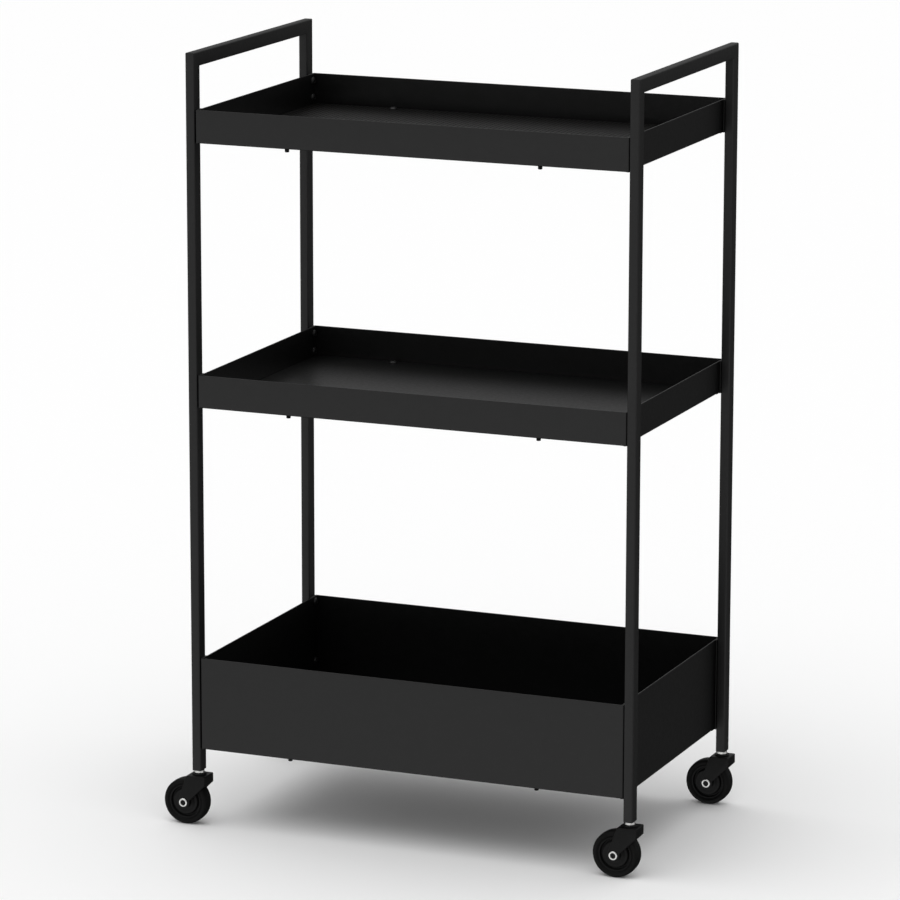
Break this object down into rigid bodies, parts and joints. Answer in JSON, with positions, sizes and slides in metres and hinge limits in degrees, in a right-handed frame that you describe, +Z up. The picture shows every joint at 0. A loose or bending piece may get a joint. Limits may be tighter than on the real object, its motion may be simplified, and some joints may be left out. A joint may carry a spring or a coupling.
{
  "type": "three-tier utility cart",
  "caption": "Black steel utility cart: two inverted-U end frames with handle bars, two shallow trays, a deep bottom tray, a mesh top base, and swivel casters.",
  "frame": {"origin": "on the floor, under the middle of the whole cart's box with the casters trailing toward -X, which is 14 mm toward -X of the middle of the frame", "axes": "+X along the cart's length toward the right handle, +Y toward the back, +Z up"},
  "size_m": [0.54, 0.3106, 0.83],
  "materials": {
    "frame_steel": "satin black powder coat",
    "tray_steel": "satin black powder coat",
    "mesh_steel": "satin black powder coat on expanded metal",
    "screw_steel": "black coated screw",
    "zinc_steel": "bright zinc plate",
    "caster_plastic": "black moulded nylon, fine grain",
    "tyre_rubber": "black, satin, lightly scuffed",
    "socket_plastic": "black moulded plastic"
  },
  "bodies": {
    "cart": {"end_frame_left": "frame_steel", "end_frame_right": "frame_steel", "top_tray_front_rail": "tray_steel", "top_tray_back_rail": "tray_steel", "top_tray_left_panel": "tray_steel", "top_tray_right_panel": "tray_steel", "top_tray_base": "mesh_steel", "top_tray_screw_front_left": "screw_steel", "top_tray_screw_front_right": "screw_steel", "top_tray_screw_back_left": "screw_steel", "top_tray_screw_back_right": "screw_steel", "middle_tray_front_rail": "tray_steel", "middle_tray_back_rail": "tray_steel", "middle_tray_left_panel": "tray_steel", "middle_tray_right_panel": "tray_steel", "middle_tray_base": "tray_steel", "middle_tray_screw_front_left": "screw_steel", "middle_tray_screw_front_right": "screw_steel", "middle_tray_screw_back_left": "screw_steel", "middle_tray_screw_back_right": "screw_steel", "bottom_tray_front_rail": "tray_steel", "bottom_tray_back_rail": "tray_steel", "bottom_tray_left_panel": "tray_steel", "bottom_tray_right_panel": "tray_steel", "bottom_tray_base": "tray_steel", "bottom_tray_screw_front_left": "screw_steel", "bottom_tray_screw_front_right": "screw_steel", "bottom_tray_screw_back_left": "screw_steel", "bottom_tray_screw_back_right": "screw_steel", "caster_front_left_socket": "socket_plastic", "caster_front_left_stem": "zinc_steel", "caster_front_right_socket": "socket_plastic", "caster_front_right_stem": "zinc_steel", "caster_back_left_socket": "socket_plastic", "caster_back_left_stem": "zinc_steel", "caster_back_right_socket": "socket_plastic", "caster_back_right_stem": "zinc_steel"},
    "caster_front_left": {"caster_front_left_fork": "caster_plastic", "caster_front_left_axle": "zinc_steel"},
    "wheel_front_left": {"caster_front_left_wheel": "caster_plastic", "caster_front_left_tyre": "tyre_rubber"},
    "caster_front_right": {"caster_front_right_fork": "caster_plastic", "caster_front_right_axle": "zinc_steel"},
    "wheel_front_right": {"caster_front_right_wheel": "caster_plastic", "caster_front_right_tyre": "tyre_rubber"},
    "caster_back_left": {"caster_back_left_fork": "caster_plastic", "caster_back_left_axle": "zinc_steel"},
    "wheel_back_left": {"caster_back_left_wheel": "caster_plastic", "caster_back_left_tyre": "tyre_rubber"},
    "caster_back_right": {"caster_back_right_fork": "caster_plastic", "caster_back_right_axle": "zinc_steel"},
    "wheel_back_right": {"caster_back_right_wheel": "caster_plastic", "caster_back_right_tyre": "tyre_rubber"}
  },
  "joints": [
    {"name": "caster_front_left_swivel", "type": "hinge", "parent": "cart", "child": "caster_front_left", "pos_m": [-0.231, -0.1425, 0.0572], "axis": [0, 0, 1], "continuous": true},
    {"name": "wheel_front_left_spin", "type": "hinge", "parent": "caster_front_left", "child": "wheel_front_left", "pos_m": [-0.245, -0.1425, 0.025], "axis": [0, 1, 0], "continuous": true},
    {"name": "caster_front_right_swivel", "type": "hinge", "parent": "cart", "child": "caster_front_right", "pos_m": [0.259, -0.1425, 0.0572], "axis": [0, 0, 1], "continuous": true},
    {"name": "wheel_front_right_spin", "type": "hinge", "parent": "caster_front_right", "child": "wheel_front_right", "pos_m": [0.245, -0.1425, 0.025], "axis": [0, 1, 0], "continuous": true},
    {"name": "caster_back_left_swivel", "type": "hinge", "parent": "cart", "child": "caster_back_left", "pos_m": [-0.231, 0.1425, 0.0572], "axis": [0, 0, 1], "continuous": true},
    {"name": "wheel_back_left_spin", "type": "hinge", "parent": "caster_back_left", "child": "wheel_back_left", "pos_m": [-0.245, 0.1425, 0.025], "axis": [0, 1, 0], "continuous": true},
    {"name": "caster_back_right_swivel", "type": "hinge", "parent": "cart", "child": "caster_back_right", "pos_m": [0.259, 0.1425, 0.0572], "axis": [0, 0, 1], "continuous": true},
    {"name": "wheel_back_right_spin", "type": "hinge", "parent": "caster_back_right", "child": "wheel_back_right", "pos_m": [0.245, 0.1425, 0.025], "axis": [0, 1, 0], "continuous": true}
  ]
}
